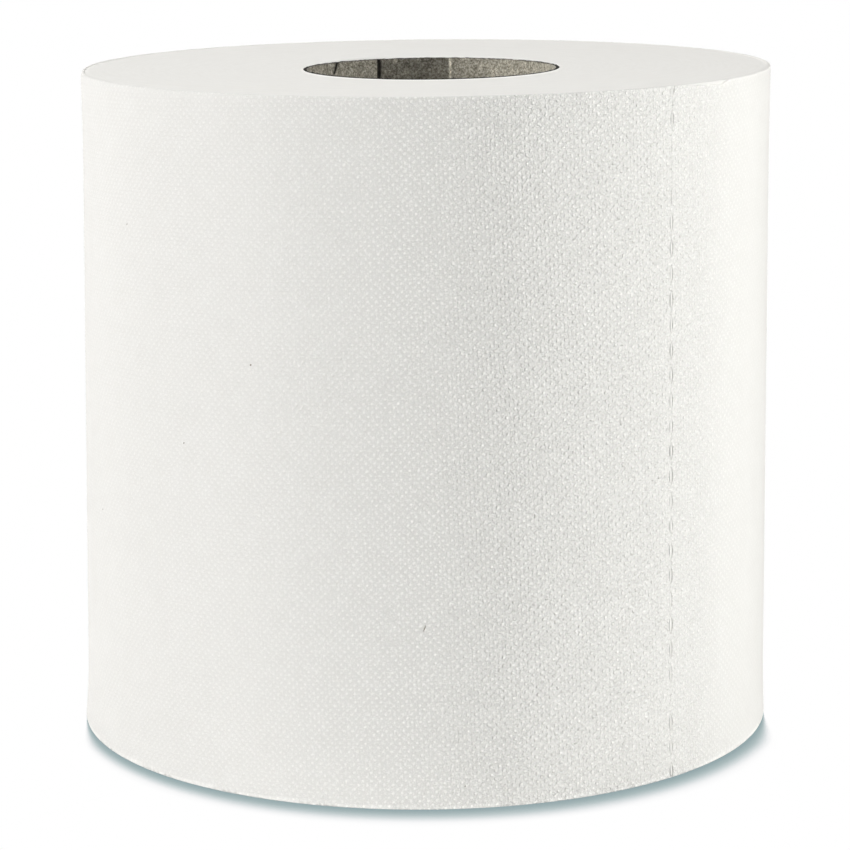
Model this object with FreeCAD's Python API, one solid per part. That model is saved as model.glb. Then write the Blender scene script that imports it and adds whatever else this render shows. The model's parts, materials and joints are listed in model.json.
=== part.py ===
import FreeCAD, Part
import math
import os

# Center pull paper towel roll, standing on one end. Millimetres, +Z up along the axis of the roll,
# origin at the middle of the lower end. Angles are in degrees about +Z, counted from the front
# (-Y) towards +X. The web winds outward with the angle, so its last turn ends at the tail.

V = FreeCAD.Vector
ORIGIN = V(0, 0, 0)
UP = V(0, 0, 1)

# Wound web
roll_height = 194.0
waist_radius = 101.4          # mean radius over the middle of the roll
top_flare = 0.4               # how far the upper rim spreads past the waist
top_flare_height = 30.0
base_flare = 0.6              # how far the lower rim is pressed out past the waist
base_flare_height = 16.0
rim_bevel = 0.6
sheet_thickness = 0.4         # two plies, the step at the tail
turn_pitch = 9.6              # between the turns that stand out on the ends
turn_gap_width = 1.0
turn_gap_depth = 0.5
inner_land = 3.0              # plain ring left round the bore

# Perforations, which part the web into sheets
sheet_length = 254.0
front_line_angle = 42.0       # the line of slits beside the front
slit_length = 5.2
slit_width = 1.6
slit_bond = 1.85              # uncut paper between two slits
top_slit_drop = 1.9           # middle of the first slit below the upper end

# Low place in the outer turn's upper edge
dip_angle = 45.2
dip_length = 15.2
dip_depth = 1.0

# Paperboard core
core_radius = 38.0
core_wall = 1.5
core_offset = 1.7             # the core sits a little to the right of the roll's middle
core_recess = 1.6             # the core is cut a little shorter than the web at each end
glue_gap = 0.05               # clearance between the core and the first turn
ply_gap_angle = 206.0         # butt gap of the inner ply
ply_gap_width = 1.2
ply_gap_depth = 0.5
nick_angle = 231.5            # short leaning cut in the core's upper edge
nick_width = 0.55
nick_length = 3.4
nick_lean = 22.0

cut_margin = 2.0              # how far a cutter reaches past the surface it opens

bore_radius = core_radius + glue_gap
slit_pitch = slit_length + slit_bond
sheet_angle = math.degrees(sheet_length / waist_radius)
tail_angle = front_line_angle + sheet_angle
hidden_line_angle = front_line_angle - sheet_angle


def turned(shape, angle):
    """The shape carried round the roll from the front by an angle."""
    shape.rotate(ORIGIN, UP, angle)
    return shape


def roll_half(radius):
    """Half turn of the whole roll about one centre, from +X round to -X."""
    base_rim = radius + base_flare
    top_rim = radius + top_flare
    corners = [
        V(0, 0, 0),
        V(base_rim, 0, 0),
        V(radius, 0, base_flare_height),
        V(radius, 0, roll_height - top_flare_height),
        V(top_rim, 0, roll_height - rim_bevel),
        V(top_rim - rim_bevel, 0, roll_height),
        V(0, 0, roll_height),
    ]
    return Part.Face(Part.makePolygon(corners + corners[:1])).revolve(ORIGIN, UP, 180)


def wound_blank():
    """Solid roll whose side is a one-turn spiral, with the tail's step towards +X.

    Its two halves have centres and radii that differ by half the step."""
    shift = sheet_thickness / 4
    first_half = roll_half(waist_radius - shift)
    first_half.translate(V(-shift, 0, 0))
    second_half = roll_half(waist_radius + shift)
    second_half.rotate(ORIGIN, UP, 180)
    second_half.translate(V(shift, 0, 0))
    return first_half.fuse(second_half)


def turn_gap_section(radius, end_z, outward):
    """V section of the gap between two turns, open past the end face."""
    half_width = turn_gap_width / 2
    mouth_z = end_z + outward * cut_margin
    corners = [
        V(radius - half_width, 0, mouth_z),
        V(radius - half_width, 0, end_z),
        V(radius, 0, end_z - outward * turn_gap_depth),
        V(radius + half_width, 0, end_z),
        V(radius + half_width, 0, mouth_z),
    ]
    return Part.Face(Part.makePolygon(corners + corners[:1]))


def turn_gaps(end_z, outward):
    """Spiral gap between the turns on one end: half circles about two centres half a pitch apart.

    It is counted inward from the tail, which it meets one turn below the side."""
    shift = turn_pitch / 2
    outer_end = waist_radius - turn_pitch
    count = math.floor((outer_end - bore_radius - inner_land) / shift) - 1
    halves = []
    for index in range(count):
        half = turn_gap_section(outer_end - shift * (index + 1), end_z, outward).revolve(ORIGIN, UP, 180)
        if index % 2 == 0:
            half.rotate(ORIGIN, UP, 180)
            half.translate(V(shift, 0, 0))
        halves.append(half)
    return halves


def slit():
    """Eye-shaped cutter at the front, centred on z = 0, as deep as one sheet."""
    floor_y = sheet_thickness - waist_radius
    half_length = slit_length / 2
    half_width = slit_width / 2
    lower = V(0, floor_y, -half_length)
    upper = V(0, floor_y, half_length)
    right = Part.Arc(lower, V(half_width, floor_y, 0), upper).toShape()
    left = Part.Arc(upper, V(-half_width, floor_y, 0), lower).toShape()
    reach = sheet_thickness + max(top_flare, base_flare) + cut_margin
    return Part.Face(Part.Wire([right, left])).extrude(V(0, -reach, 0))


def perforation(angle):
    """One line of slits from the upper end to the lower one; the rim cuts its first slit open."""
    slits = []
    height = roll_height - top_slit_drop
    while height > slit_width:
        cutter = slit()
        cutter.translate(V(0, 0, height))
        slits.append(turned(cutter, angle))
        height -= slit_pitch
    return slits


def edge_dip():
    """Cutter for the stretch of upper edge where the outer turn sits low."""
    inner = waist_radius + top_flare - sheet_thickness
    outer = waist_radius + top_flare + cut_margin
    angle = math.degrees(dip_length / waist_radius)
    floor_z = roll_height - dip_depth
    height = dip_depth + cut_margin
    ring = Part.makeCylinder(outer, height, V(0, 0, floor_z), UP, angle).cut(
        Part.makeCylinder(inner, height, V(0, 0, floor_z), UP))
    return turned(ring, dip_angle - 90)


def towel_web():
    """The whole wound web: its turns are one solid."""
    web = wound_blank()
    web = web.cut(turn_gaps(roll_height, 1))
    web = web.cut(turn_gaps(0, -1))
    web = turned(web, tail_angle - 90)
    web = web.cut(Part.makeCylinder(bore_radius, roll_height, V(core_offset, 0, 0)))
    web = web.cut(edge_dip())
    web = web.cut(perforation(front_line_angle) + perforation(hidden_line_angle))
    return web


def core_tube():
    """Paperboard tube that the web is wound on, with its inner ply's seam and a nick at the top."""
    length = roll_height - 2 * core_recess
    inner_radius = core_radius - core_wall
    base = V(0, 0, core_recess)
    tube = Part.makeCylinder(core_radius, length, base).cut(
        Part.makeCylinder(inner_radius, length, base))
    seam_depth = ply_gap_depth + cut_margin
    seam = Part.makeBox(ply_gap_width, seam_depth, length,
                        V(-ply_gap_width / 2, -inner_radius - ply_gap_depth, core_recess))
    nick_reach = core_wall + 2 * cut_margin
    nick = Part.makeBox(nick_width, nick_reach, nick_length + cut_margin,
                        V(-nick_width / 2, -core_radius - cut_margin, -nick_length))
    nick.rotate(ORIGIN, V(0, 1, 0), -nick_lean)
    nick.translate(V(0, 0, roll_height - core_recess))
    tube = tube.cut([turned(seam, ply_gap_angle), turned(nick, nick_angle)])
    tube.translate(V(core_offset, 0, 0))
    return tube


os.makedirs("parts", exist_ok=True)
towel_web().exportStep("parts/towel_web.step")
core_tube().exportStep("parts/core_tube.step")
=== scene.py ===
import json
import math

import bpy
import numpy as np
from mathutils import Matrix, Vector
from mathutils.geometry import delaunay_2d_cdt


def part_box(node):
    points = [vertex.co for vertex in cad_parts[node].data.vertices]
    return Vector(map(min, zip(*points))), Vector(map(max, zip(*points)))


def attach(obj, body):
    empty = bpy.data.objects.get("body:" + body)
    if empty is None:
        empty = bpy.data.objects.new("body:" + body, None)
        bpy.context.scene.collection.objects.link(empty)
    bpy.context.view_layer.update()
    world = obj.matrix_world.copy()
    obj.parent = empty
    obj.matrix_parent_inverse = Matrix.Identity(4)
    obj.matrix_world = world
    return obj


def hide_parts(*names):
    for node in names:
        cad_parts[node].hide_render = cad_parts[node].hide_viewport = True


# Looks of a center pull paper towel roll. Metres, the frame's own axes: +Z up the roll's axis,
# the front is -Y, and angles run from the front towards +X. The outer turn of the web is three
# embossed sheets, joined along perforation lines, and the turns inside them are one piece.

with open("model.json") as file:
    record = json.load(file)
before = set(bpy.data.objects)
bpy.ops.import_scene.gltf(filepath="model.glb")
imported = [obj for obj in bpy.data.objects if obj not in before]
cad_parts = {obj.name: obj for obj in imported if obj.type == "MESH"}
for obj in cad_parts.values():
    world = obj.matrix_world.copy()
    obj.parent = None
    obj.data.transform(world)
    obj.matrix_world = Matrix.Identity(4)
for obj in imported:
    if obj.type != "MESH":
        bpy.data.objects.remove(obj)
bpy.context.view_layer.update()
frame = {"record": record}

MM = 0.001

web_low, web_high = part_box("towel_web")
core_low, core_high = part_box("core_tube")
HEIGHT = web_high.z
TOP_FLARE = 0.4 * MM            # how far the rims spread past the waist
TOP_FLARE_HEIGHT = 30 * MM
BASE_FLARE = 0.6 * MM
BASE_FLARE_HEIGHT = 16 * MM
FLARE_MORE_LEFT = (0.1 * MM, 0.2 * MM)  # at the top and at the base
WAIST = (web_high.x - web_low.x) / 2 - BASE_FLARE
CORE_OUTER = (core_high.x - core_low.x) / 2
CORE_INNER = frame["record"]["mounts"][0]["dims"]["r_mm"] * MM
CORE_X = (core_high.x + core_low.x) / 2
BORE = CORE_OUTER + 0.05 * MM

# How the soft roll stands: a little conical, leaning, higher on one side and sunk round the bore
CONE = 0.8 * MM
LEAN = 0.6 * MM
TOP_TILT = 0.33 * MM
DISH = 0.83 * MM
DISH_TILT = 0.4                 # share by which the dish is deeper at the front than in its middle
SOFT_RIM = 1.6 * MM             # width of the rounding along the upper rim
RIM_DROP = 0.12 * MM            # depth of that rounding
RIM_DROP_MORE_LEFT = 0.4 * MM

SHEET_THICKNESS = 0.4 * MM      # pitch of the outer turns
SKIN = 0.34 * MM                # the outer sheet itself, a little under its pitch
SHEET_LENGTH = 254 * MM
FRONT_LINE = math.radians(42.25)    # at the base
LINE_LEAN = 1.86 * MM               # how far a line of slits leans from the base to the top
TAIL = FRONT_LINE + SHEET_LENGTH / WAIST
TURN_LENGTH = 2 * math.pi * WAIST

# Upper edge of the outer turn: how low it sits, in mm by degrees from the front
EDGE_DROP = ((43, 0), (45.2, 0.35), (53.8, 1.05), (56.2, 0.08), (67.5, 0.16), (68.3, 0))
TATTER = 0.05                   # mm, raggedness of that edge
TORN_TATTER = 0.1               # mm more where it is torn
TORN_FROM, TORN_TO = 44, 56     # degrees

# Emboss: raised dots on a square lattice that stands on its corner, turned a little
DOT_STEP_ROUND = 2.33 * MM
DOT_STEP_UP = 2.335 * MM
DOT_CROWD = 0.012               # the rows get this much closer towards the top
DOT_TURN = math.radians(2.4)
DOT_HEIGHT = 0.14 * MM
DOT_UNEVEN = 0.35               # share by which the dots' heights differ
DOT_STRAY = 0.09 * MM           # how far a dot is off its place
DOT_LONG = 0.62 * MM            # half length, along the diagonal that rises to the right
DOT_WIDE = 0.46 * MM

# By degrees from the front: how far the emboss stands up, which also scales the painted highlight and shade
# of its grains, and how strongly its dots show as pale spots, a painted highlight; both are strongest just
# right of the front
STANDS_UP = ((-90, 0.5), (-50, 0.45), (-28, 0.6), (-12, 0.95), (2, 1.4), (12, 2.2), (24, 2.3), (38, 2.2),
             (48, 1.6), (56, 0.75), (66, 0.3), (100, 0.4))
DOT_HIGHLIGHT = ((-90, 0.3), (-50, 0.3), (-28, 0.4), (-12, 0.8), (2, 1.3), (12, 1.6), (24, 1.5), (32, 1.4),
           (40, 1.0), (66, 0.2), (100, 0.2))

SLIT_LENGTH = 5.2 * MM
SLIT_PITCH = 7.05 * MM
TOP_SLIT_DROP = 1.91 * MM
SLIT_HALF_WIDTH = (0.62, 0.86)                          # mm, least and most
FRONT_SHUT = {2: 0.08, 3: 0.05, 4: 0.14, 24: 0.06}      # slits that stayed nearly shut, from the top
HIDDEN_SHUT = {6: 0.1, 15: 0.14}


# ---------------- shared helpers

class Noise:
    """Smooth random field on a plane, periodic in its first coordinate, from -1 to 1."""

    def __init__(self, seed, period, cells, step):
        rows = 256
        self.grid = np.random.default_rng(seed).uniform(-1, 1, (cells, rows))
        self.period = period
        self.step = step

    def __call__(self, u, v):
        cells, rows = self.grid.shape
        x, y = np.asarray(u) / self.period * cells, np.asarray(v) / self.step
        x0, y0 = np.floor(x).astype(int), np.floor(y).astype(int)
        fx, fy = smooth_step(0, 1, x - x0), smooth_step(0, 1, y - y0)

        def corner(i, j):
            return self.grid[(x0 + i) % cells, (y0 + j) % rows]

        low = corner(0, 0) * (1 - fx) + corner(1, 0) * fx
        high = corner(0, 1) * (1 - fx) + corner(1, 1) * fx
        return low * (1 - fy) + high * fy


def smooth_step(low, high, value):
    """0 up to low and 1 from high on; low may be the larger one."""
    t = np.clip((np.asarray(value, float) - low) / (high - low), 0, 1)
    return t * t * (3 - 2 * t)


def hump(value, width):
    """1 at zero, falling off on both sides."""
    return np.exp(-(np.asarray(value) / width) ** 2)


def settled(points):
    """Carry points of the true roll to the soft roll as it stands."""
    x, y, z = np.asarray(points, float).T
    up = z / HEIGHT
    swell = 1 + CONE * (1 - 2 * up) / WAIST
    return np.stack([x * swell + LEAN * (2 * up - 1), y * swell, z + TOP_TILT * up * x / WAIST], -1)


def linked(name, data):
    """New object in the scene."""
    made = bpy.data.objects.new(name, data)
    bpy.context.scene.collection.objects.link(made)
    return made


def new_piece(name, vertices, faces, material, marks, flat_faces=()):
    """Mesh object that rides on the roll; marks are named numbers, one per vertex."""
    mesh = bpy.data.meshes.new(name)
    mesh.from_pydata(settled(vertices).tolist(), [], faces)
    smooth = np.ones(len(mesh.polygons), bool)
    smooth[list(flat_faces)] = False
    mesh.polygons.foreach_set("use_smooth", smooth)
    for mark, values in marks.items():
        values = np.asarray(values, np.float32)
        kind, field = ("FLOAT", "value") if values.ndim == 1 else ("FLOAT_VECTOR", "vector")
        mesh.attributes.new(mark, kind, "POINT").data.foreach_set(field, values.ravel())
    mesh.materials.append(material)
    mesh.update()
    piece = linked(name, mesh)
    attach(piece, "root")
    return piece


def inside(loop, points):
    """Whether points lie inside a closed outline."""
    start = np.asarray(loop)
    end = np.roll(start, -1, 0)
    found = []
    for x, y in points:
        spans = (start[:, 1] > y) != (end[:, 1] > y)
        a, b = start[spans], end[spans]
        crossing = a[:, 0] + (y - a[:, 1]) * (b[:, 0] - a[:, 0]) / (b[:, 1] - a[:, 1])
        found.append((crossing > x).sum() % 2 == 1)
    return np.array(found, bool)


def distance_to(loop, points):
    """Distance of points from a closed outline."""
    start = np.asarray(loop)
    run = np.roll(start, -1, 0) - start
    length = np.maximum((run ** 2).sum(1), 1e-18)
    found = []
    for point in np.asarray(points):
        t = np.clip(((point - start) * run).sum(1) / length, 0, 1)
        found.append(np.hypot(*(start + t[:, None] * run - point).T).min())
    return np.array(found)


def inset(loop, depth, clear=0.7):
    """Points just inside a closed outline that runs to the left round its inside.

    In narrow corners, points nearer to the outline than a share of the depth are left out."""
    points = np.asarray(loop)
    run = np.roll(points, -1, 0) - np.roll(points, 1, 0)
    inward = np.stack([-run[:, 1], run[:, 0]], -1) / np.maximum(np.hypot(*run.T), 1e-9)[:, None]
    found = points + depth * inward
    return found[inside(loop, found) & (distance_to(loop, found) > clear * depth)]


def triangulated(outline_loops, inner_points):
    """Triangles inside the first closed outline and outside the others.

    Returns points, the source index of each (outlines' points first) and the triangles."""
    points = [p for loop in outline_loops for p in loop]
    edges = []
    start = 0
    for loop in outline_loops:
        count = len(loop)
        edges += [(start + i, start + (i + 1) % count) for i in range(count)]
        start += count
    points = [Vector(p) for p in points] + [Vector(p) for p in inner_points]
    made, _, faces, sources, _, _ = delaunay_2d_cdt(points, edges, [], 0, 1e-9, True)
    flat = np.array([(p.x, p.y) for p in made])
    source = np.array([ids[0] if ids else -1 for ids in sources])
    faces = np.array(faces)
    doubtful = np.flatnonzero((source[faces] < start).all(1))
    centres = flat[faces[doubtful]].mean(1)
    wrong = ~inside(outline_loops[0], centres)
    for hole in outline_loops[1:]:
        wrong |= inside(hole, centres)
    return flat, source, np.delete(faces, doubtful[wrong], 0).tolist()


def shell(loop, fine_points, coarse_points):
    """Thin closed shell over one outline, a fine skin and a coarse back joined along the rim.

    Returns the flat coordinates of all points, their source in the skin (-1 on the back),
    the count of points in the skin, the faces, and the numbers of the rim's wall faces."""
    flat, source, skin = triangulated([loop], fine_points)
    flat_back, source_back, back = triangulated([loop], coarse_points)
    shift = len(flat)
    rim = len(loop)
    where = {int(k): n for n, k in enumerate(source) if k < rim}
    where_back = {int(k): n + shift for n, k in enumerate(source_back) if k < rim}
    faces = [tuple(f) for f in skin]
    faces += [tuple(shift + k for k in reversed(f)) for f in back]
    walls = range(len(faces), len(faces) + rim)
    for k in range(rim):
        following = (k + 1) % rim
        faces.append((where[following], where[k], where_back[k], where_back[following]))
    source = np.concatenate([source, np.full(len(flat_back), -1)])
    return np.vstack([flat, flat_back]), source, shift, faces, walls


# ---------------- shape of the web

ragged = Noise(7, TURN_LENGTH, 560, 1.0)


def web_s(angle):
    """Distance along the outer turn at an angle from the front."""
    return (angle - TAIL + 2 * math.pi) * WAIST


def web_angle(s):
    return TAIL - 2 * math.pi + s / WAIST


def web_degrees(s):
    """Angle from the front in degrees, from -180 to 180."""
    return (np.degrees(web_angle(s)) + 180) % 360 - 180


def by_degrees(s, table):
    """Value at a place along the outer turn, from a table of (degrees, value)."""
    return np.interp(web_degrees(s), *zip(*table))


def rim_softness(angle):
    """How far the upper rim is rounded over, more on the left."""
    return RIM_DROP + RIM_DROP_MORE_LEFT * smooth_step(20, 62, -np.degrees(angle))


def flare(angle, z):
    """How far the rims spread past the waist, less the rounding of the upper rim."""
    left = -np.sin(angle)
    top_more, base_more = FLARE_MORE_LEFT
    top = smooth_step(HEIGHT - TOP_FLARE_HEIGHT, HEIGHT + TOP_FLARE_HEIGHT * 0.6, z) * 1.4
    base = np.clip(1 - z / BASE_FLARE_HEIGHT, 0, 1) ** 1.6
    bend = np.clip(1 - (HEIGHT - z) / SOFT_RIM, 0, 1) ** 2
    return (top * (TOP_FLARE + top_more * left) + base * (BASE_FLARE + base_more * left)
            - bend * rim_softness(angle))


def on_web(s, z, lift):
    """Points of the outer turn: s along the web from its start under the tail, z up."""
    angle = web_angle(s)
    radius = WAIST + SHEET_THICKNESS * (s / TURN_LENGTH - 0.5) + flare(angle, z) + lift
    return np.stack([radius * np.sin(angle), -radius * np.cos(angle), z + 0 * s], -1)


def top_edge(s):
    """Height of the outer turn's upper edge, with the low stretch right of the front line."""
    degrees = web_degrees(s)
    tatter = TATTER + TORN_TATTER * ((degrees > TORN_FROM) & (degrees < TORN_TO))
    return HEIGHT - (by_degrees(s, EDGE_DROP) + tatter * (1 + ragged(s, 0.5 + 0 * s)) / 2) * MM


def end_level(x, y, relief):
    """Upper end of the turns inside: dished to the bore, rounded over at the rim."""
    radius = np.hypot(x, y)
    angle = np.arctan2(x, -y)
    sunk = DISH * (1 - DISH_TILT * y / radius) * (1 - np.clip((radius - BORE) / (WAIST - BORE), 0, 1))
    over = np.clip(1 - (WAIST - SHEET_THICKNESS - radius) / SOFT_RIM, 0, 1) ** 2
    return HEIGHT - sunk - over * rim_softness(angle) * 0.8 + relief


# ---------------- shader nodes

def add_node(tree, kind, inputs, **settings):
    """Outputs of a new node, whose inputs take plain values or other nodes' outputs."""
    node = tree.nodes.new("ShaderNode" + kind)
    for name, value in settings.items():
        setattr(node, name, value)
    for name, value in inputs.items():
        if isinstance(value, bpy.types.NodeSocket):
            tree.links.new(value, node.inputs[name])
        else:
            node.inputs[name].default_value = value
    return node.outputs


def math_node(tree, operation, *values):
    return add_node(tree, "Math", dict(enumerate(values)), operation=operation)[0]


def vector_node(tree, operation, vector, output):
    return add_node(tree, "VectorMath", {0: vector}, operation=operation)[output]


def split_node(tree, vector):
    return add_node(tree, "SeparateXYZ", {0: vector})


def attribute(tree, name, output="Fac"):
    return add_node(tree, "Attribute", {}, attribute_name=name)[output]


def noise_node(tree, vector, scale, detail=2, roughness=0.5):
    return add_node(tree, "TexNoise", {"Vector": vector, "Scale": scale, "Detail": detail,
                                       "Roughness": roughness})["Fac"]


def span_node(tree, value, low, high):
    """Smooth step from 0 to 1 between two values."""
    return add_node(tree, "MapRange", {"Value": value, "From Min": low, "From Max": high},
                    interpolation_type="SMOOTHSTEP")["Result"]


def ramp_node(tree, value, stops, easing="LINEAR"):
    """Colour ramp over a value; stops are (position, colour)."""
    ramp = tree.nodes.new("ShaderNodeValToRGB")
    ramp.color_ramp.interpolation = easing
    elements = ramp.color_ramp.elements
    while len(elements) < len(stops):
        elements.new(0.5)
    for element, (position, colour) in zip(elements, stops):
        element.position = position
        element.color = (*colour, 1)
    tree.links.new(value, ramp.inputs["Fac"])
    return ramp.outputs["Color"]


def bump_node(tree, height, distance, *normal):
    """Bump over a height in metres, on top of another bump's normal where that is given."""
    return add_node(tree, "Bump", {"Strength": 1.0, "Distance": distance, "Height": height,
                                   **{"Normal": under for under in normal}})[0]


def multiplied(tree, first, second):
    return add_node(tree, "Mix", {"Factor": 1, 6: first, 7: second},
                    data_type="RGBA", blend_type="MULTIPLY")[2]


def show_apart(tree, kind, shown, unseen):
    """One shader for what the camera sees directly, and another for the light that it gives."""
    seen = tree.nodes.new("ShaderNodeLightPath").outputs["Is Camera Ray"]
    add_node(tree, kind, {"Surface": add_node(tree, "MixShader", {0: seen, 1: unseen, 2: shown})[0]})


# ---------------- camera, light, floor

# Fitted to the photograph's outline of the roll, its two rims and the hole
CAMERA_PLACE = (-0.00007, -0.89345, 0.26824)
CAMERA_PITCH = 0.17341          # down
CAMERA_ROLL = -0.00602
CAMERA_LENS = 128.42            # mm on a sensor of 36 mm
CAMERA_SHIFT = -0.10

LAMP_DISTANCE = 1.1             # from the roll's axis
LAMP_SIZE = (0.38, 0.6)
FRONT_TINT = (0.985, 0.99, 0.972)
RIGHT_TINT = (1, 0.985, 0.955)
LEFT_TINT = (1, 0.99, 0.975)
LAMPS = (                       # name, degrees from the front, height, power, colour
    ("far_left", -95, 0.9, 3.4, LEFT_TINT),
    ("left", -75, 0.9, 9.35, LEFT_TINT),
    ("left_low", -75, 0.3, 1.7, LEFT_TINT),
    ("front_left", -35, 0.9, 1.1, FRONT_TINT),
    ("front_right", 35, 0.9, 3.35, FRONT_TINT),
    ("front_right_low", 35, 0.3, 4.2, FRONT_TINT),
    ("right", 75, 0.9, 5.55, RIGHT_TINT),
    ("right_low", 75, 0.3, 1.3, RIGHT_TINT),
    ("far_right", 95, 0.9, 0.8, RIGHT_TINT),
    ("back", 180, 0.9, 3.5, RIGHT_TINT),
    ("back_low", 180, 0.3, 1.0, RIGHT_TINT),
)
ROOM_COLOUR = (0.98, 1, 0.99)
ROOM_STRENGTH = 0.05

# Contact shadow on the floor: how far out it reaches, and where round the roll it is seen
SHADOW_REACH = 17.5 * MM
SHADOW_MORE_RIGHT = 1.8 * MM
SHADOW_LESS_ASIDE = 11 * MM
SHADOW_FROM, SHADOW_FULL = -0.12, -0.45     # y over the distance from the axis
SHADOW_STOPS = (                            # openness of the place above, and colour
    (0.56, (0.30, 0.39, 0.41)), (0.67, (0.38, 0.47, 0.475)), (0.75, (0.54, 0.61, 0.62)),
    (0.82, (0.75, 0.78, 0.79)), (0.88, (0.94, 0.94, 0.945)), (0.94, (1, 1, 1)))
BOUNCE_STOPS = ((0.15, (0.92, 0.92, 0.92)), (0.6, (0.7, 0.7, 0.7)))     # distance from the axis
FLOOR_REACH = 12


def add_camera():
    data = bpy.data.cameras.new("camera")
    data.lens = CAMERA_LENS
    data.sensor_width = 36
    data.shift_y = CAMERA_SHIFT
    data.clip_start = 0.05
    data.clip_end = 60
    camera = linked("camera", data)
    camera.location = CAMERA_PLACE
    turned = Matrix.Rotation(math.pi / 2 - CAMERA_PITCH, 4, "X") @ Matrix.Rotation(CAMERA_ROLL, 4, "Z")
    camera.rotation_euler = turned.to_euler()
    bpy.context.scene.camera = camera


def add_box_light(name, azimuth, height, power, colour):
    """Soft box beside the roll, turned towards it."""
    data = bpy.data.lights.new(name, "AREA")
    data.shape = "RECTANGLE"
    data.size, data.size_y = LAMP_SIZE
    data.energy = power
    data.color = colour
    light = linked(name, data)
    a = math.radians(azimuth)
    light.location = (LAMP_DISTANCE * math.sin(a), -LAMP_DISTANCE * math.cos(a), height)
    away = light.location - Vector((0, 0, HEIGHT / 2))
    light.rotation_euler = away.to_track_quat("Z", "Y").to_euler()
    light.visible_camera = False


def add_world():
    """Even dim studio for the object, plain white behind it for the camera."""
    world = bpy.data.worlds.new("studio")
    world.use_nodes = True
    bpy.context.scene.world = world
    tree = world.node_tree
    tree.nodes.clear()
    room = add_node(tree, "Background", {"Color": (*ROOM_COLOUR, 1), "Strength": ROOM_STRENGTH})[0]
    backdrop = add_node(tree, "Background", {"Color": (1, 1, 1, 1)})[0]
    show_apart(tree, "OutputWorld", backdrop, room)


def floor_material():
    """White floor with a soft contact shadow where the roll stands on it."""
    material = bpy.data.materials.new("floor")
    material.use_nodes = True
    tree = material.node_tree
    tree.nodes.clear()
    place = tree.nodes.new("ShaderNodeNewGeometry").outputs["Position"]
    distance = vector_node(tree, "LENGTH", place, "Value")
    across = split_node(tree, place)
    sideways = math_node(tree, "DIVIDE", across["X"], distance)
    aside = math_node(tree, "POWER", math_node(tree, "ABSOLUTE", sideways), 3)
    forward = math_node(tree, "DIVIDE", across["Y"], distance)
    reach = math_node(tree, "MULTIPLY_ADD", sideways, SHADOW_MORE_RIGHT, SHADOW_REACH)
    reach = math_node(tree, "MULTIPLY_ADD", aside, -SHADOW_LESS_ASIDE, reach)
    reach = math_node(tree, "MULTIPLY", reach, span_node(tree, forward, SHADOW_FROM, SHADOW_FULL))
    openness = add_node(tree, "AmbientOcclusion", {"Distance": reach}, samples=16)["AO"]
    shown = add_node(tree, "Emission", {"Color": ramp_node(tree, openness, SHADOW_STOPS)})[0]
    bounce = add_node(tree, "BsdfDiffuse", {"Color": ramp_node(tree, distance, BOUNCE_STOPS, "EASE")})[0]
    show_apart(tree, "OutputMaterial", shown, bounce)
    return material


def add_floor():
    mesh = bpy.data.meshes.new("floor")
    corners = [(x * FLOOR_REACH, y * FLOOR_REACH, 0) for x, y in ((-1, -1), (1, -1), (1, 1), (-1, 1))]
    mesh.from_pydata(corners, [], [(0, 1, 2, 3)])
    mesh.materials.append(floor_material())
    linked("floor", mesh)


# ---------------- materials

DOT_LIGHT = 0.135               # painted light: how much paler the dots and the grains are than the ground
GRAIN_LIGHT = 0.09
MEAN_COVER = 0.4                # share of the dots and of the grains in a plain mean
# painted shade of the ground between the dots and grains
GROUND_SHADE = 0.15
EMBOSS_BUMP = 0.08 * MM
CREPE_BUMP = 0.02 * MM
GRAIN_BUMP = 0.05 * MM
FIBRE_BUMP = 0.11 * MM

# Scales of the noises, in cells per metre
CLOUD_SCALE = 180
PATCH_SCALE = 420               # patches where the dots show more or less
CREPE_SCALE = 1300
GRAIN_SCALE = 2400
FIBRE_SCALE = 2600
PULP_SCALE = 1500
CORE_FIBRE_SCALE = 4200
CORE_LUMP_SCALE = 1600
CORE_ROUGHNESS = 0.85


def paper_material(name, paint, roughness=0.9):
    """Dull material whose colour and normal come from paint, by node tree and place on the object."""
    material = bpy.data.materials.new(name)
    material.use_nodes = True
    tree = material.node_tree
    shader = tree.nodes["Principled BSDF"]
    shader.inputs["Roughness"].default_value = roughness
    shader.inputs["Specular IOR Level"].default_value = 0.15
    colour, normal = paint(tree, add_node(tree, "TexCoord", {})["Object"])
    tree.links.new(colour, shader.inputs["Base Color"])
    tree.links.new(normal, shader.inputs["Normal"])
    return material


def emboss_waves(tree, web):
    """Highest, 2.3, in the middle of a dot, from the web's own dot coordinates."""
    turn = 2 * math.pi
    rising = math_node(tree, "SUBTRACT", web["X"], web["Y"])
    falling = math_node(tree, "ADD", web["X"], web["Y"])
    strong = math_node(tree, "COSINE", math_node(tree, "MULTIPLY", rising, turn))
    weak = math_node(tree, "COSINE", math_node(tree, "MULTIPLY", falling, turn))
    return math_node(tree, "MULTIPLY_ADD", strong, 1.3, weak)


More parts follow.
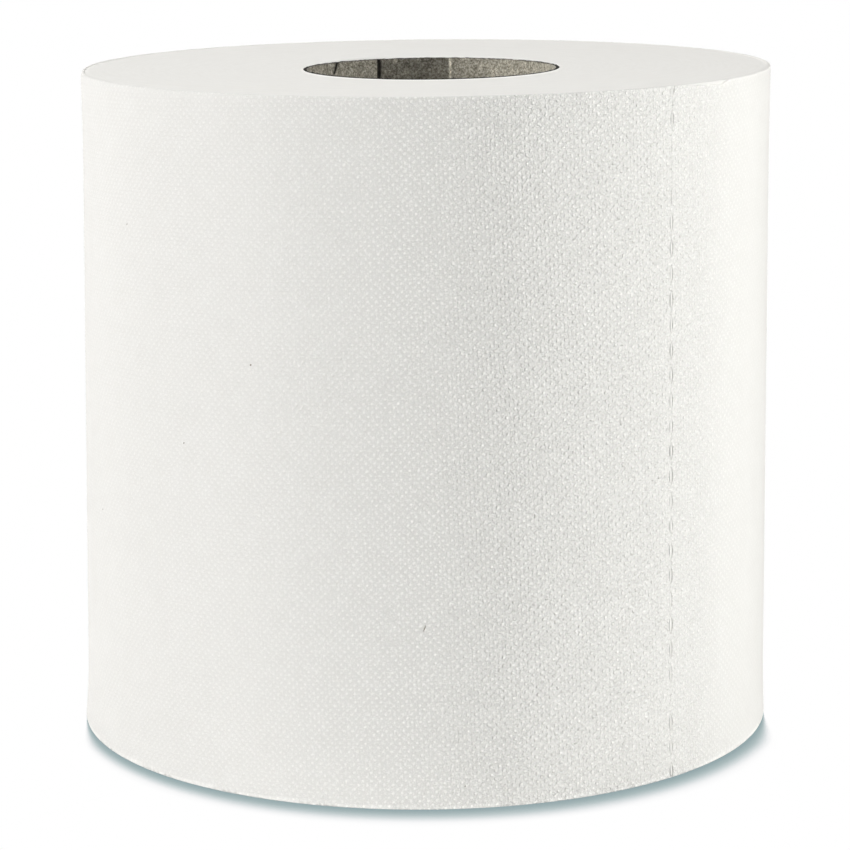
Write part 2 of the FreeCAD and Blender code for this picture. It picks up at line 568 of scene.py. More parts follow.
def embossed_paper(tree, place):
    """Soft white tissue, with painted light: the dots get a painted highlight as if catching the light, and
    the ground between them, a little deeper, a painted shade.

    The third web coordinate is how far the emboss still stands up at a place."""
    web = split_node(tree, attribute(tree, "web", "Vector"))
    stands = web["Z"]
    waves = emboss_waves(tree, web)
    raised = span_node(tree, waves, 0.2, 2.3)
    uneven = span_node(tree, noise_node(tree, place, PATCH_SCALE, 1), 0.2, 0.5)
    dots = math_node(tree, "MULTIPLY", span_node(tree, waves, 0.7, 2.2), uneven)
    crepe = noise_node(tree, place, CREPE_SCALE, 0)
    fibres = noise_node(tree, place, FIBRE_SCALE, 0)
    grains = span_node(tree, noise_node(tree, place, GRAIN_SCALE, 1), 0.46, 0.72)
    # painted light: pale dots and grains stand for the light that the relief catches, the ground between them
    # for its shade
    spots = math_node(tree, "MULTIPLY_ADD", dots, DOT_LIGHT, -MEAN_COVER * DOT_LIGHT)
    grain = math_node(tree, "MULTIPLY_ADD", grains, GRAIN_LIGHT, -MEAN_COVER * GRAIN_LIGHT)
    shade = math_node(tree, "MULTIPLY_ADD", grain, math_node(tree, "MINIMUM", stands, 1.6), 1 - GROUND_SHADE)
    shade = math_node(tree, "MULTIPLY_ADD", spots, attribute(tree, "dot_highlight"), shade)
    colour = ramp_node(tree, noise_node(tree, place, CLOUD_SCALE, 3), (
        (0.3, (0.918, 0.912, 0.892)), (0.7, (0.932, 0.927, 0.909))))
    colour = multiplied(tree, multiplied(tree, colour, shade), attribute(tree, "tone"))
    normal = []
    for height, distance in ((raised, EMBOSS_BUMP), (crepe, CREPE_BUMP),
                             (grains, GRAIN_BUMP), (fibres, FIBRE_BUMP)):
        normal = [bump_node(tree, math_node(tree, "MULTIPLY", height, stands), distance, *normal)]
    return colour, normal[0]


def cut_paper(tree, place):
    """Edges of the many turns on the ends: fine streaks that run round with the winding."""
    across = split_node(tree, place)
    flat = add_node(tree, "CombineXYZ", {"X": across["X"], "Y": across["Y"]})[0]
    outward = split_node(tree, vector_node(tree, "NORMALIZE", flat, "Vector"))
    radius = vector_node(tree, "LENGTH", flat, "Value")
    wound = add_node(tree, "CombineXYZ", {"X": math_node(tree, "MULTIPLY", outward["X"], 9),
                                          "Y": math_node(tree, "MULTIPLY", outward["Y"], 9),
                                          "Z": math_node(tree, "MULTIPLY", radius, 900)})[0]
    # a little darker than the sheets: painted shade of the small gaps between the turns
    colour = ramp_node(tree, noise_node(tree, wound, 1.0, 3, 0.6), (
        (0.3, (0.838, 0.833, 0.815)), (0.7, (0.87, 0.866, 0.85))))
    layers = bump_node(tree, noise_node(tree, wound, 3.0, 1), 0.03 * MM)
    fluff = bump_node(tree, noise_node(tree, place, PULP_SCALE, 3, 0.6), 0.05 * MM, layers)
    return multiplied(tree, colour, attribute(tree, "tone")), fluff


def core_board(tree, place):
    """Recycled paperboard: mottled grey brown pulp with paler and darker fibres."""
    pulp = ramp_node(tree, noise_node(tree, place, PULP_SCALE, 3, 0.75), (
        (0.34, (0.17, 0.155, 0.12)), (0.5, (0.40, 0.378, 0.315)), (0.64, (0.66, 0.63, 0.55))))
    stretched = add_node(tree, "Mapping", {"Vector": place, "Rotation": (0.6, 0.3, 0.5),
                                           "Scale": (1, 0.18, 1)})[0]
    fibres = ramp_node(tree, noise_node(tree, stretched, CORE_FIBRE_SCALE, 2), (
        (0.3, (0.72, 0.72, 0.72)), (0.5, (1, 1, 1)), (0.72, (1.0, 1.0, 1.0)), (0.8, (1.35, 1.35, 1.33))))
    colour = multiplied(tree, multiplied(tree, pulp, fibres), attribute(tree, "tone"))
    return colour, bump_node(tree, noise_node(tree, place, CORE_LUMP_SCALE, 3), 0.3 * MM)


def stray_fibre(tree, place):
    """Brown wood fibres that stayed in the pulp."""
    colour = ramp_node(tree, noise_node(tree, place, 3000, 2), (
        (0.3, (0.14, 0.12, 0.09)), (0.7, (0.3, 0.27, 0.21))))
    return colour, bump_node(tree, noise_node(tree, place, 6000, 2), 0.03 * MM)


# ---------------- outer turn

def slit_openings(seed, shut):
    """Half widths of a line's slits, from the top one down; those nearly shut are given by number."""
    rng = np.random.default_rng(seed)
    count = int((HEIGHT - TOP_SLIT_DROP) / SLIT_PITCH) + 1
    widths = rng.uniform(*SLIT_HALF_WIDTH, count)
    for number, width in shut.items():
        widths[number] = width
    return widths * MM


def slit_centre(number):
    return HEIGHT - TOP_SLIT_DROP - number * SLIT_PITCH


def line_offset(z):
    """How far a line of slits leans from its place at the base."""
    return -LINE_LEAN * z / HEIGHT


def line_edge(line, openings, side):
    """One edge of a line of slits as (s, z), from the base up to the second slit."""
    points = [(line, 0.0)]
    for number in reversed(range(1, len(openings))):
        for t in np.linspace(-1, 1, 13):
            z = slit_centre(number) + t * SLIT_LENGTH / 2
            if z > 0.2 * MM:
                points.append((line + line_offset(z) + side * openings[number] * (1 - t * t), z))
    return points


def with_corner(edge, line, *steps):
    """An edge carried on up to the sheet's upper corner; steps are (s offset, drop) in mm."""
    for offset, drop in steps:
        s = line + line_offset(HEIGHT) + offset * MM
        edge = edge + [(s, float(top_edge(s)) - drop * MM)]
    return edge


def dot_coordinates(s, z):
    """Place on the emboss in dot steps."""
    cos, sin = math.cos(DOT_TURN), math.sin(DOT_TURN)
    crowded = z * (1 + DOT_CROWD * z / HEIGHT)
    return (s * cos + crowded * sin) / DOT_STEP_ROUND, (crowded * cos - s * sin) / DOT_STEP_UP


def dot_places(s_left, s_right):
    """Middles of the raised dots over a stretch of the web."""
    cos, sin = math.cos(DOT_TURN), math.sin(DOT_TURN)
    corners = [dot_coordinates(s, z) for s in (s_left, s_right) for z in (0, HEIGHT)]
    i_low, j_low = (int(2 * min(c[k] for c in corners)) - 2 for k in (0, 1))
    i_high, j_high = (int(2 * max(c[k] for c in corners)) + 3 for k in (0, 1))
    i, j = np.meshgrid(np.arange(i_low, i_high), np.arange(j_low, j_high), indexing="ij")
    dots = (i + j) % 2 == 0
    u = i[dots] / 2 * DOT_STEP_ROUND
    v = j[dots] / 2 * DOT_STEP_UP
    crowded = u * sin + v * cos
    bend = DOT_CROWD / HEIGHT
    z = (np.sqrt(np.maximum(1 + 4 * bend * crowded, 0)) - 1) / (2 * bend)
    return np.stack([u * cos - v * sin, z], -1)


# Mesh of a sheet
EDGE_STEP = 0.85 * MM           # along the upper edge
EDGING = 0.06 * MM              # a row of points just inside the outline keeps its shading clean
BASE_EDGING = 0.35 * MM         # the same row along the base
BASE_CLEAR = 0.9 * MM           # between the dots' middles and the edges
TOP_CLEAR = 1.4 * MM
RIM_ROWS = ((0.25 * MM, 0.05 * MM), (0.65 * MM, 0.02 * MM))    # below the upper edge, and raised
RIM_ROUND = 0.09 * MM
EDGE_LIGHT = 0.14               # painted highlight: how much paler the thin edges that catch the light are


def sheet_outline(left_edge, right_edge):
    """Closed outline of a sheet as (s, z), and the s of the points along its upper edge."""
    s_left, s_right = left_edge[-1][0], right_edge[-1][0]
    count = int((s_right - s_left) / EDGE_STEP)
    top_run = np.linspace(s_right, s_left, count + 1)[1:-1]
    base_run = np.linspace(left_edge[0][0], right_edge[0][0], count // 2 + 1)[1:-1]
    loop = [left_edge[0]] + [(s, 0.0) for s in base_run] + right_edge
    loop += [(s, float(top_edge(s))) for s in top_run] + left_edge[:0:-1]
    return loop, top_run


def sheet_dots(loop, left_edge, right_edge):
    """Middles and heights of a sheet's raised dots, a little uneven and clear of its edges."""
    spots = dot_places(min(p[0] for p in left_edge), max(p[0] for p in right_edge))
    rng = np.random.default_rng(int(1e4 * right_edge[-1][0]))
    spots += rng.uniform(-DOT_STRAY, DOT_STRAY, spots.shape)
    height = DOT_HEIGHT * rng.uniform(1 - DOT_UNEVEN, 1 + DOT_UNEVEN, len(spots))
    height *= np.minimum(by_degrees(spots[:, 0], STANDS_UP), 1.5)
    s, z = spots.T
    left_of, right_of = (np.interp(z, [0, HEIGHT], [edge[0][0], edge[-1][0]])
                         for edge in (left_edge, right_edge))
    keep = (s > left_of - 2 * MM) & (s < right_of + 2 * MM)
    keep &= (z > BASE_CLEAR) & (z < top_edge(s) - TOP_CLEAR)
    near = keep & ((s < left_of + 4 * MM) | (s > right_of - 4 * MM))
    keep[near] = inside(loop, spots[near]) & (distance_to(loop, spots[near]) > DOT_LONG + 0.12 * MM)
    return spots[keep], height[keep]


def skin_points(loop, top_run, spots, height):
    """Points inside a sheet's outline and how far each is raised: dots, edging and upper rim."""
    edging = inset(loop, EDGING)
    edging[edging[:, 1] < 0.1 * MM, 1] = BASE_EDGING
    points, lift = [spots, edging], [height, np.full(len(edging), 0.03 * MM)]
    for along, across in ((DOT_LONG, 0), (0, DOT_WIDE), (-DOT_LONG, 0), (0, -DOT_WIDE)):
        points.append(spots + np.array([along - across, along + across]) / math.sqrt(2))
        lift.append(0 * height)
    for below, raised in RIM_ROWS:
        row = np.stack([top_run, top_edge(top_run) - below], -1)
        row = row[distance_to(loop, row) > 0.18 * MM]
        points.append(row)
        lift.append(np.full(len(row), raised))
    return np.vstack(points), np.concatenate(lift)


def back_points(loop, s_left, s_right):
    """Wide grid of points for the hidden side of a sheet."""
    grid = np.array([(s, z) for s in np.arange(s_left, s_right, 4 * MM)
                     for z in np.arange(3 * MM, HEIGHT - 4 * MM, 8 * MM)])
    return grid[inside(loop, grid) & (distance_to(loop, grid) > 1 * MM)]


def sheet_tone(s, z):
    """Painted light on a sheet: painted highlights on the upper edge where the light falls on it and along
    the base, and a little painted light right of the front, which makes up for the emboss's painted shade
    there.
    """
    degrees = web_degrees(s)
    lit = np.maximum(smooth_step(36, 44, degrees), smooth_step(70, 95, -degrees))
    tone = 1 + EDGE_LIGHT * lit * smooth_step(0.4 * MM, 0.1 * MM, top_edge(s) - z)
    # painted highlight along the base, where light from the floor falls
    tone += EDGE_LIGHT * (z < 0.4 * MM)
    return tone + 0.045 * smooth_step(4, 20, degrees) * smooth_step(54, 40, degrees)


def tissue_marks(s, z, stands, dot_highlight, tone):
    """What the tissue's material reads at each point."""
    return {"web": np.stack([*dot_coordinates(s, z), stands], -1), "tone": tone, "dot_highlight": dot_highlight}


def sheet_skin(name, left_edge, right_edge, material):
    """One sheet of the outer turn, a closed thin shell with its raised dots."""
    loop, top_run = sheet_outline(left_edge, right_edge)
    fine, lift = skin_points(loop, top_run, *sheet_dots(loop, left_edge, right_edge))
    coarse = back_points(loop, left_edge[-1][0], right_edge[-1][0])
    flat, source, skin, faces, walls = shell(loop, fine.tolist(), coarse.tolist())
    s, z = flat.T
    rim = len(loop)
    on_rim = (source >= 0) & (source < rim)
    relief = np.where(source >= rim, lift[np.clip(source - rim, 0, len(lift) - 1)], 0.0)
    at_top = on_rim & (z > top_edge(s) - 0.02 * MM)
    relief[at_top] = -RIM_ROUND
    relief[on_rim & ~at_top & (z > 0)] = 0.04 * MM
    relief[skin:] = -SKIN
    marks = tissue_marks(s, z, by_degrees(s, STANDS_UP), by_degrees(s, DOT_HIGHLIGHT), sheet_tone(s, z))
    return new_piece(name, on_web(s, z, relief), faces, material, marks, walls)


PLY_LIFT = -0.365 * MM          # face of the next ply, from the outer turn's face
PLY_BACK = -0.395 * MM
PLY_BULGE = 0.22 * MM           # how far that ply comes up in a slit
PLY_STANDS = 0.6


def slit_relief(openings, offset, z):
    """Lift and shade of the ply that shows in a line of slits; it bulges a little into each one.

    In a wide slit the bulge gets a painted highlight in the middle and painted shade beside it, more on the
    left."""
    rng = np.random.default_rng(11)
    lift = np.full(offset.shape, PLY_LIFT)
    tone = np.ones(offset.shape)
    for number, opening in enumerate(openings):
        swing = rng.uniform(0, 0.2) * MM
        depth = rng.uniform(0.16, 0.28) if number else 0.06
        t = (z - slit_centre(number)) / (SLIT_LENGTH / 2)
        eye = np.clip(1 - t * t, 0, 1)
        within = 1 - smooth_step(opening * eye - 0.08 * MM, opening * eye + 0.12 * MM, np.abs(offset))
        within *= smooth_step(0, 0.15, eye)
        aside = offset - swing
        if opening > 0.4 * MM:
            lift += (PLY_BULGE + 0.13 * MM * hump(aside, 0.3 * MM)) * within
            # painted shade in the gaps beside the bulge, and a painted highlight on its middle
            tone -= depth * within * (1 - hump(aside, 0.25 * MM)) * np.where(aside < 0, 2.0, 1.2)
            tone += 0.1 * within * hump(aside, 0.22 * MM)
        else:
            lift += (PLY_BULGE + 0.08 * MM) * within
    return lift, tone


def strip_faces(columns, rows):
    """Faces of a closed strip whose back points follow the front ones, and its wall faces."""
    size = columns * rows
    faces = []
    for r in range(rows - 1):
        for a in range(r * columns, (r + 1) * columns - 1):
            faces.append((a, a + 1, a + columns + 1, a + columns))
            faces.append((size + a, size + a + columns, size + a + columns + 1, size + a + 1))
    rim = list(range(columns)) + [r * columns + columns - 1 for r in range(1, rows)]
    rim += [(rows - 1) * columns + k for k in reversed(range(columns - 1))]
    rim += [r * columns for r in reversed(range(1, rows - 1))]
    walls = range(len(faces), len(faces) + len(rim))
    faces += [(b, a, size + a, size + b) for a, b in zip(rim, rim[1:] + rim[:1])]
    return faces, walls


def slit_ply(name, line, openings, torn, material):
    """Strip of the next ply along a line of slits."""
    across = np.concatenate([[-3.6], np.linspace(-1.25, 1.25, 23), [3.6]]) * MM
    rows = np.linspace(0.5 * MM, HEIGHT - 0.7 * MM, 470)
    offset, z = np.meshgrid(across, rows)
    lift, tone = slit_relief(openings, offset, z)
    if torn:
        # painted shade in the torn notch at the top of the front line
        deep = smooth_step(HEIGHT - 4.2 * MM, HEIGHT - 2.2 * MM, z)
        tone -= deep * (0.14 * hump(offset - 0.75 * MM, 0.55 * MM) + 0.06 * hump(offset + 0.9 * MM, 1.1 * MM))
    tone = np.clip(tone, 0.2, 1.12).ravel()
    s = (line + line_offset(z) + offset).ravel()
    z = z.ravel()
    vertices = np.vstack([on_web(s, z, lift.ravel()), on_web(s, z, PLY_BACK)])
    faces, walls = strip_faces(len(across), len(rows))
    marks = tissue_marks(s, z, 0 * s + PLY_STANDS, 0 * s, tone)
    marks = {mark: np.concatenate([values, values]) for mark, values in marks.items()}
    return new_piece(name, vertices, faces, material, marks, walls)


def add_outer_turn(material):
    front = web_s(FRONT_LINE)
    hidden = front - SHEET_LENGTH
    front_slits = slit_openings(3, FRONT_SHUT)
    hidden_slits = slit_openings(4, HIDDEN_SHUT)
    start = [(0.0, 0.0), (0.0, float(top_edge(0.0)))]
    tail = [(TURN_LENGTH + 0.12 * MM * float(ragged(40 * z, 0.0)), z)
            for z in np.linspace(0, HEIGHT, 240)[:-1]]
    tail += [(TURN_LENGTH, float(top_edge(TURN_LENGTH)))]
    hidden_left = with_corner(line_edge(hidden, hidden_slits, -1), hidden, (0, 0))
    hidden_right = with_corner(line_edge(hidden, hidden_slits, 1), hidden, (0, 0))
    torn_left = with_corner(line_edge(front, front_slits, -1), front, (0, 3.3), (-2.2, 0))
    torn_right = with_corner(line_edge(front, front_slits, 1), front,
                             (0, 3.3), (0.0, 0.5), (0.35, 0.25), (0.16, 3.0), (1.25, 0))
    return [
        sheet_skin("sheet_left", start, hidden_left, material),
        sheet_skin("sheet_front", hidden_right, torn_left, material),
        sheet_skin("sheet_right", torn_right, tail, material),
        slit_ply("slit_ply_left", hidden, hidden_slits, False, material),
        slit_ply("slit_ply_front", front, front_slits, True, material),
    ]


# ---------------- turns inside, and the ends

SIDE_COUNT = 560                # points round the side and round the bore
BORE_COUNT = 420
SIDE_DROPS = (0, 0.35, 0.8, 1.2, 1.7, 10, 20, 30, 60, 110, 160, 184, 189)      # mm below the rim
BORE_DROPS = (0, 0.6, 2, 6, 12)
TOP_SPACING = (0.75 * MM, 1.5 * MM)     # across and along the rings of points
BASE_SPACING = (1.6 * MM, 3.2 * MM)
LIP_RISE = 0.1 * MM
NICK = math.radians(231.5)      # leaning cut in the core's upper edge


def end_relief(x, y, seed):
    """Uneven edges of the turns: long streaks round the roll."""
    radius = np.hypot(x, y)
    angle = np.arctan2(x, -y)
    fine = Noise(seed, 2 * math.pi, 11, 1.1 * MM)(angle, radius)
    broad = Noise(seed + 1, 2 * math.pi, 6, 5 * MM)(angle, radius)
    return 0.02 * MM * fine + 0.05 * MM * broad


def bore_lip(x, y):
    """0 away from the bore and 1 on the lip round it, strongest at the front; it sets the lip's rise and its
    painted highlight.
    """
    front = smooth_step(0.05, 0.8, -y / BORE)
    beyond = np.hypot(x - CORE_X, y) - BORE - (0.4 + 2 * front) * MM
    return (0.35 + 0.65 * front) * (1 - smooth_step(0, 0.5 * MM, beyond))


def end_points(across, along):
    """Rings of points over an end face, closer together at the bore and at the rim."""
    middle = np.arange(BORE - CORE_X + 2 * MM, WAIST - 2.6 * MM, across)
    rim = WAIST - SHEET_THICKNESS - np.array([1.8, 1.25, 0.8, 0.4]) * MM
    points = []
    for number, radius in enumerate(np.concatenate([middle, rim])):
        count = int(2 * math.pi * radius / along)
        angle = 2.4 * number + np.linspace(0, 2 * math.pi, count, endpoint=False)
        x, y = radius * np.sin(angle), -radius * np.cos(angle)
        clear = np.hypot(x - CORE_X, y) > BORE + 1.9 * MM
        points += list(zip(x[clear], y[clear]))
    for extra in (0.2, 0.42, 0.7, 1.1, 1.5):
        angle = np.linspace(0, 2 * math.pi, BORE_COUNT, endpoint=False) + 7 * extra
        radius = BORE + extra * MM
        points += list(zip(CORE_X + radius * np.sin(angle), -radius * np.cos(angle)))
    return points


def rings_of_turns():
    """Rings of points down the side and down the bore, from the top to the base."""
    s = np.linspace(0, TURN_LENGTH, SIDE_COUNT)
    rim = on_web(s, np.full(SIDE_COUNT, HEIGHT), -SHEET_THICKNESS)
    rim_top = end_level(rim[:, 0], rim[:, 1], 0)
    side = [on_web(s, rim_top - drop * MM, -SHEET_THICKNESS) for drop in SIDE_DROPS]
    side.append(on_web(s, np.zeros(SIDE_COUNT), -SHEET_THICKNESS))
    angle = np.linspace(0, 2 * math.pi, BORE_COUNT, endpoint=False)
    x, y = CORE_X + BORE * np.sin(angle), -BORE * np.cos(angle)
    bore_top = end_level(x, y, LIP_RISE * bore_lip(x, y))
    bore = [np.stack([x, y, bore_top - drop * MM], -1) for drop in BORE_DROPS]
    bore += [np.stack([x, y, 0 * x + height], -1) for height in (1.5 * MM, 0)]
    return side, bore


def turns_tone(x, y, z):
    """Painted light on the turns inside: a painted highlight on the lip at the bore, a painted highlight on
    the rim behind and painted shade on it in front, and painted shade in the bore behind the nick.
    """
    tone = 0.98 + 0.18 * bore_lip(x, y) * (z > HEIGHT - 2 * MM)
    behind = smooth_step(-0.3, 0.1, y / WAIST)
    # painted highlight on the rim behind, painted shade on it in front
    tone += (0.14 * behind - 0.06 * (1 - behind)) * (np.hypot(x, y) > WAIST - 1.4 * MM)
    from_nick = np.arctan2(x - CORE_X, -y) - (NICK - 2 * math.pi)
    in_bore = np.hypot(x - CORE_X, y) < BORE + 0.1 * MM
    # painted shade in the bore, seen through the nick
    dark = 0.9 * hump(from_nick, 0.05) * (z > HEIGHT - 9 * MM) * (z < HEIGHT - 1.2 * MM)
    return tone * np.where(in_bore, 1 - dark, 1)


def add_inner_turns(material):
    """All the turns inside the outer one, as one closed solid with both end faces."""
    side, bore = rings_of_turns()
    vertices = side + bore
    starts = np.cumsum([0] + [len(ring) for ring in vertices])
    numbers = [start + np.arange(len(ring)) for start, ring in zip(starts, vertices)]
    side_rows, bore_rows = numbers[:len(side)], numbers[len(side):]
    faces = []
    for rows, turned_in in ((side_rows, False), (bore_rows, True)):
        for high, low in zip(rows, rows[1:]):
            band = zip(low, np.roll(low, -1), np.roll(high, -1), high)
            faces += [face[::-1] if turned_in else face for face in band]
    for top, rim, hole, spacing in ((True, side_rows[0], bore_rows[0], TOP_SPACING),
                                    (False, side_rows[-1], bore_rows[-1], BASE_SPACING)):
        so_far = np.vstack(vertices)
        loops = [[tuple(so_far[k, :2]) for k in ring] for ring in (rim, hole)]
        flat, source, made = triangulated(loops, end_points(*spacing))
        x, y = flat.T
        fresh = source >= len(rim) + len(hole)
        number = np.empty(len(flat), int)
        number[~fresh] = np.concatenate([rim, hole])[source[~fresh]]
        number[fresh] = len(so_far) + np.arange(fresh.sum())
        if top:
            level = end_level(x, y, end_relief(x, y, 20) + LIP_RISE * bore_lip(x, y))
        else:
            level = np.clip(-end_relief(x, y, 24), 0, None)
        vertices.append(np.stack([x, y, level], -1)[fresh])
        for face in made:
            face = tuple(int(number[k]) for k in face)
            faces.append(face if top else face[::-1])
    vertices = np.vstack(vertices)
    return new_piece("inner_turns", vertices, faces, material, {"tone": turns_tone(*vertices.T)})


# ---------------- core

NICK_WIDTH = 0.5 * MM
NICK_FOOT = 0.6                 # its width at the foot, as a share
NICK_LENGTH = 3.4 * MM
NICK_SHIFT = 1.37 * MM
INNER_SEAM = math.radians(206)  # butt gap of the inner ply
INNER_SEAM_GAP = 1.2 * MM
OUTER_SEAM = math.radians(20)
OUTER_SEAM_GAP = 0.3 * MM
SCUFF = math.radians(170)       # edge of the darker strip beside the inner ply's seam
INNER_PLY = 0.48 * MM
CORE_RISE = 0.8 * MM            # the core sits this much higher in the dished end than in a flat one
TOP_SHADE_BAND = 0.3 * MM             # painted shade along the core's upper end: depth of the band
OUTER_PLY_SHADE = 0.05           # painted shade: the outer ply is made near black, as it shows only as the shaded bottom of the inner ply's seam


def core_tone(angle, drop):
    """Shade of the inner ply by angle and by depth below its upper edge.

    A darker strip lies between the scuff and the seam, and the side right of it is paler. The scuff is a pale
    line with a painted shadow beside it, and the nick and the upper end get painted shade, darkest at the
    front."""
    degrees = np.degrees(angle) % 360
    mottle = Noise(41, 2 * math.pi, 90, 2 * MM)(angle, drop)
    speck = Noise(42, 2 * math.pi, 260, 0.9 * MM)(angle, drop)
    strip = smooth_step(169.6, 170.6, degrees) * (1 - smooth_step(205, 207, degrees))
    # pale scuff line, with a painted shadow beside it
    scuff = 1.7 * hump(degrees - 170.6, 0.5) - 0.5 * hump(degrees - 169.3, 0.5)
    worn = 0.6 * hump(degrees - 197.5, 0.8) * (drop < 1.6 * MM) * (speck > 0)
    worn += 0.25 * smooth_step(222, 240, degrees) * smooth_step(300, 285, degrees) * (speck > 0.2)
    right = 0.1 * smooth_step(169, 160, degrees) + 0.25 * smooth_step(160, 135, degrees)
    tone = 1 - 0.42 * strip + 0.12 * mottle + 0.18 * speck + scuff + worn + right
    tone *= 0.69 + 0.17 * smooth_step(171, 170, degrees) + 0.07 * smooth_step(163, 152, degrees)
    # painted shadow in the nick
    in_nick = NICK + NICK_SHIFT / CORE_INNER * drop / NICK_LENGTH - angle % (2 * math.pi)
    tone *= 1 - 0.98 * hump(in_nick * CORE_INNER, 0.9 * MM) * (drop < NICK_LENGTH + 0.2 * MM)
    # painted shade along the upper end, darkest at the front
    facing = np.cos(angle)
    top_shade = np.where(facing > 0.3, 0.95, np.where(facing < -0.3, 0.5, 0.2))
    return np.clip(tone, 0.03, 2.6) * (1 - top_shade * (drop < TOP_SHADE_BAND))


def ply_outline(begin, end, base, top, nick):
    """Closed outline of a core ply laid flat as (s, z), with its ragged upper edge and the nick."""
    edge = Noise(33, 40 * MM, 60, 1.0)
    run = np.arange(begin, end, 0.8 * MM)[1:-1]
    run = run[np.abs(run - nick) > 1.5 * NICK_WIDTH]
    upper = [(s, top - 0.12 * MM * (1 + float(edge(s, 0.5)))) for s in run[::-1]]
    half, foot = NICK_WIDTH / 2, nick + NICK_SHIFT
    cut = [(nick + half, top - 0.1 * MM), (foot + half * NICK_FOOT, top - NICK_LENGTH),
           (foot - half * NICK_FOOT, top - NICK_LENGTH), (nick - half, top - 0.1 * MM)]
    loop = [(begin, base)] + [(s, base) for s in run] + [(end, base)]
    loop += [(end, z) for z in np.linspace(base, top, 60)[1:]]
    loop += [p for p in upper if p[0] > nick] + cut + [p for p in upper if p[0] < nick]
    return loop + [(begin, z) for z in np.linspace(top, base, 60)[:-1]]


def liner_points(begin, end, base, top):
    """Points of the visible ply's face: close where it shows in the hole, wider below."""
    scuff = (SCUFF + 2 * math.pi) * CORE_INNER
    shown = top - 20 * MM
    points = [(s, z) for z in np.arange(top - 0.5 * MM, shown, -0.62 * MM)
              for s in np.arange(begin + 0.4 * MM, end - 0.4 * MM, 0.62 * MM)]
    points += [(scuff + a * MM, z) for a in (-0.6, -0.3, 0, 0.3, 0.6)
               for z in np.arange(top - 0.8 * MM, shown, -1.3 * MM)]
    return points + [(s, z) for z in np.arange(shown - 2 * MM, base + 2 * MM, -4 * MM)
                     for s in np.arange(begin + 1.5 * MM, end - 1.5 * MM, 2.6 * MM)]


def core_ply(name, seam, gap, inner, outer, detailed, material):
    """One ply of the core: a strip bent round to a tube, with a butt gap and the nick."""
    begin = seam * CORE_INNER + gap / 2
    end = (seam + 2 * math.pi) * CORE_INNER - gap / 2
    top, base = core_high.z + CORE_RISE, core_low.z
    nick = NICK * CORE_INNER + (0 if NICK > seam else 2 * math.pi * CORE_INNER)
    loop = ply_outline(begin, end, base, top, nick)

    def near_nick(point):
        return abs(point[0] - nick) < 4 * MM and point[1] > top - 5 * MM

    coarse = [(s, z) for z in np.linspace(base, top, 14)[1:-1]
              for s in np.arange(begin + 1.5 * MM, end - 1.5 * MM, 3 * MM)]
    coarse = [p for p in coarse if not near_nick(p)]
    fine = coarse
    if detailed:
        points = liner_points(begin, end, base, top)
        near = [p for p in points if near_nick(p)]
        fine = [p for p in points if not near_nick(p)]
        fine += [p for p, distance in zip(near, distance_to(loop, near)) if distance > 0.25 * MM]
    flat, source, skin, faces, walls = shell(loop, fine, coarse)
    s, z = flat.T
    angle = s / CORE_INNER
    rough = Noise(31, 2 * math.pi, 300, 0.8 * MM)(angle, z)
    face_radius = inner + (0.03 * MM * (rough + 1) if detailed else 0)
    radius = np.where(np.arange(len(flat)) < skin, face_radius, outer)
    vertices = np.stack([CORE_X + radius * np.sin(angle), -radius * np.cos(angle), z], -1)
    faces = [face[::-1] for face in faces]
    # the outer ply takes its near black painted shade
    tone = core_tone(angle, top - z) if detailed else np.full(len(flat), OUTER_PLY_SHADE)
    return new_piece(name, vertices, faces, material, {"tone": tone}, walls)


def add_core(material):
    joint = CORE_INNER + INNER_PLY
    return [
        core_ply("core_liner", INNER_SEAM, INNER_SEAM_GAP, CORE_INNER, joint, True, material),
        core_ply("core_board", OUTER_SEAM, OUTER_SEAM_GAP, joint + 0.02 * MM, CORE_OUTER, False, material),
    ]


# ---------------- small marks

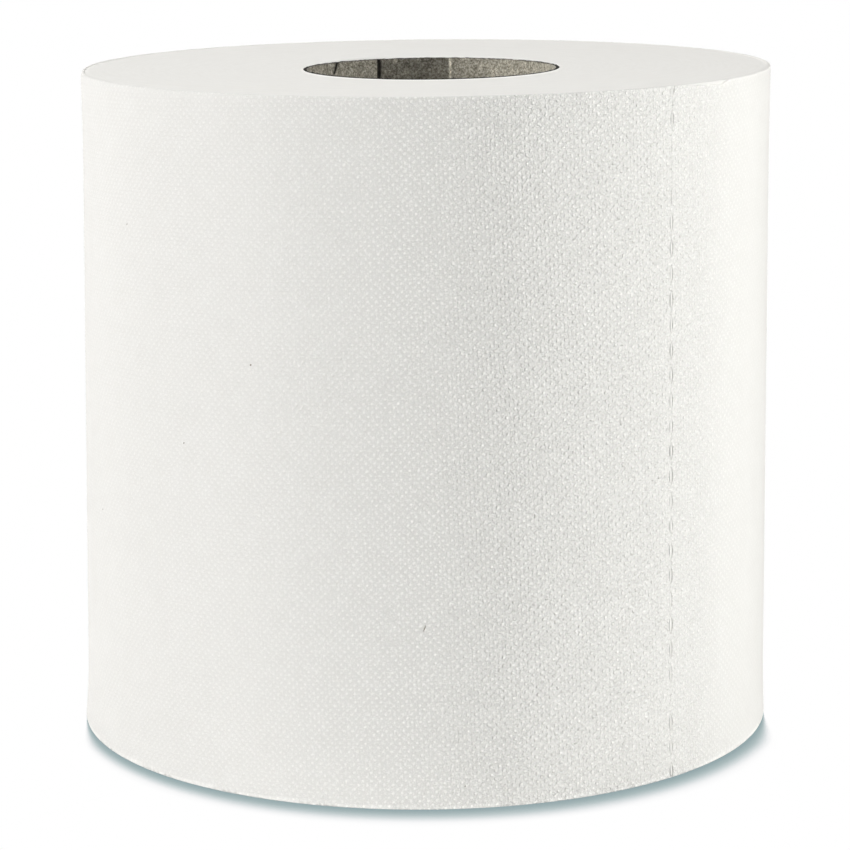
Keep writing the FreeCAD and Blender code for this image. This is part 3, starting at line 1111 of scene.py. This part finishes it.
# Brown fibres and specks in the outer ply: degrees, then height, length and width in mm
STRAY_FIBRES = ((-27.8, 121.0, 0.5, 0.5), (-0.2, 50.6, 1.9, 0.28), (-55.4, 155.2, 0.5, 0.35),
                (-41.0, 96.9, 0.45, 0.35), (-66.2, 70.1, 0.4, 0.35), (6.0, 6.3, 0.4, 0.3))
FIBRE_TAPER = (0.35, 0.9, 1, 0.85, 0.3)     # width along a fibre, as shares
FIBRE_THICKNESS = 0.05 * MM


def sliver(places, widths, outward, sideways):
    """Closed thin fibre along points on a surface."""
    vertices = []
    faces = []
    for point, width in zip(places, widths):
        for a, b in ((-1, 0), (0, 1), (1, 0), (0, -0.3)):
            vertices.append(point + sideways * a * width / 2 + outward * b * FIBRE_THICKNESS)
    for r in range(len(places) - 1):
        for k in range(4):
            n = (k + 1) % 4
            faces.append((4 * r + k, 4 * r + 4 + k, 4 * r + 4 + n, 4 * r + n))
    last = 4 * (len(places) - 1)
    faces.append((0, 1, 2, 3))
    faces.append((last + 3, last + 2, last + 1, last))
    return vertices, faces


def add_stray_fibres(material):
    vertices = []
    faces = []
    for degrees, height, length, width in STRAY_FIBRES:
        angle = math.radians(degrees)
        outward = np.array([math.sin(angle), -math.cos(angle), 0])
        sideways = np.array([math.cos(angle), math.sin(angle), 0])
        places = []
        for t in np.linspace(-1, 1, len(FIBRE_TAPER)):
            s = web_s(angle) + 0.12 * length * math.sin(2 * t) * MM
            places.append(on_web(np.array([s]), np.array([height + t * length / 2]) * MM, DOT_HEIGHT)[0])
        made, made_faces = sliver(places, np.array(FIBRE_TAPER) * width * MM, outward, sideways)
        faces += [tuple(len(vertices) + k for k in face) for face in made_faces]
        vertices += made
    return new_piece("stray_fibres", vertices, faces, material, {})


# ---------------- the whole scene

bpy.context.scene.view_settings.view_transform = "Standard"
add_camera()
add_world()
for lamp in LAMPS:
    add_box_light(*lamp)
add_floor()

web_pieces = add_outer_turn(paper_material("embossed_paper", embossed_paper))
web_pieces.append(add_inner_turns(paper_material("cut_paper", cut_paper)))
web_pieces.append(add_stray_fibres(paper_material("stray_fibre", stray_fibre)))
for piece in web_pieces:
    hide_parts("towel_web")
for piece in add_core(paper_material("core_board", core_board, CORE_ROUGHNESS)):
    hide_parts("core_tube")
